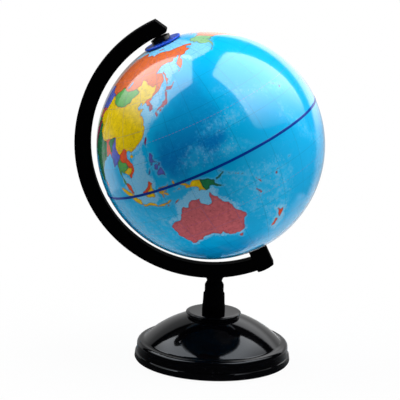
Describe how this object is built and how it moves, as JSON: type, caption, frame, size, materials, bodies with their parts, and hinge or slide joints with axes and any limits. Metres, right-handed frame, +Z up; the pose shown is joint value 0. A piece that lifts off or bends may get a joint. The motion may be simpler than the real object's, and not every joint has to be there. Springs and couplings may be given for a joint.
{
  "type": "desktop globe",
  "caption": "Desktop globe: a printed ball spins on a leaning axle in a C-shaped arm with a time dial at the pole, on a stepped column that swivels in a domed base.",
  "frame": {"origin": "centre of the base pad's underside, where the globe stands on the table", "axes": "+Z up along the column, +X towards the arm's open side, the viewer of the picture on -Y"},
  "size_m": [0.1556, 0.1424, 0.2158],
  "materials": {
    "base_black": "high gloss moulded black",
    "arm_black": "gloss moulded black",
    "cover_black": "fine textured black",
    "pad_foam": "closed-cell foam",
    "steel": "drawn steel",
    "nylon": "natural white",
    "map_print": "clear-coated political map in plain colours, no lettering",
    "band_blue": "dark blue",
    "dial_blue": "blue with dark hour marks"
  },
  "bodies": {
    "base": {"base_shell": "base_black", "collar_disc": "base_black", "cover_plate": "cover_black", "cover_screws": "steel", "base_pad": "pad_foam"},
    "stand": {"column": "base_black", "meridian_arm": "arm_black", "stem_screw": "steel", "swivel_washer": "steel", "axle_rod": "steel", "dial_hub": "arm_black", "thrust_washer": "nylon"},
    "globe": {"north_hemisphere": "map_print", "south_hemisphere": "map_print", "north_bush": "nylon", "south_bush": "nylon", "axle_sleeve": "nylon", "coupling_ring": "nylon", "equator_band": "band_blue"},
    "dial": {"time_dial": "dial_blue", "dial_washer": "nylon"}
  },
  "joints": [
    {"name": "stand_swivel", "type": "hinge", "parent": "base", "child": "stand", "pos_m": [0, 0, 0.028], "axis": [0, 0, 1], "continuous": true},
    {"name": "globe_spin", "type": "hinge", "parent": "stand", "child": "globe", "pos_m": [-0.0052, 0, 0.1382], "axis": [-0.4462, 0, 0.8949], "continuous": true},
    {"name": "dial_turn", "type": "hinge", "parent": "stand", "child": "dial", "pos_m": [-0.03697, 0, 0.20192], "axis": [-0.4462, 0, 0.8949], "continuous": true}
  ]
}
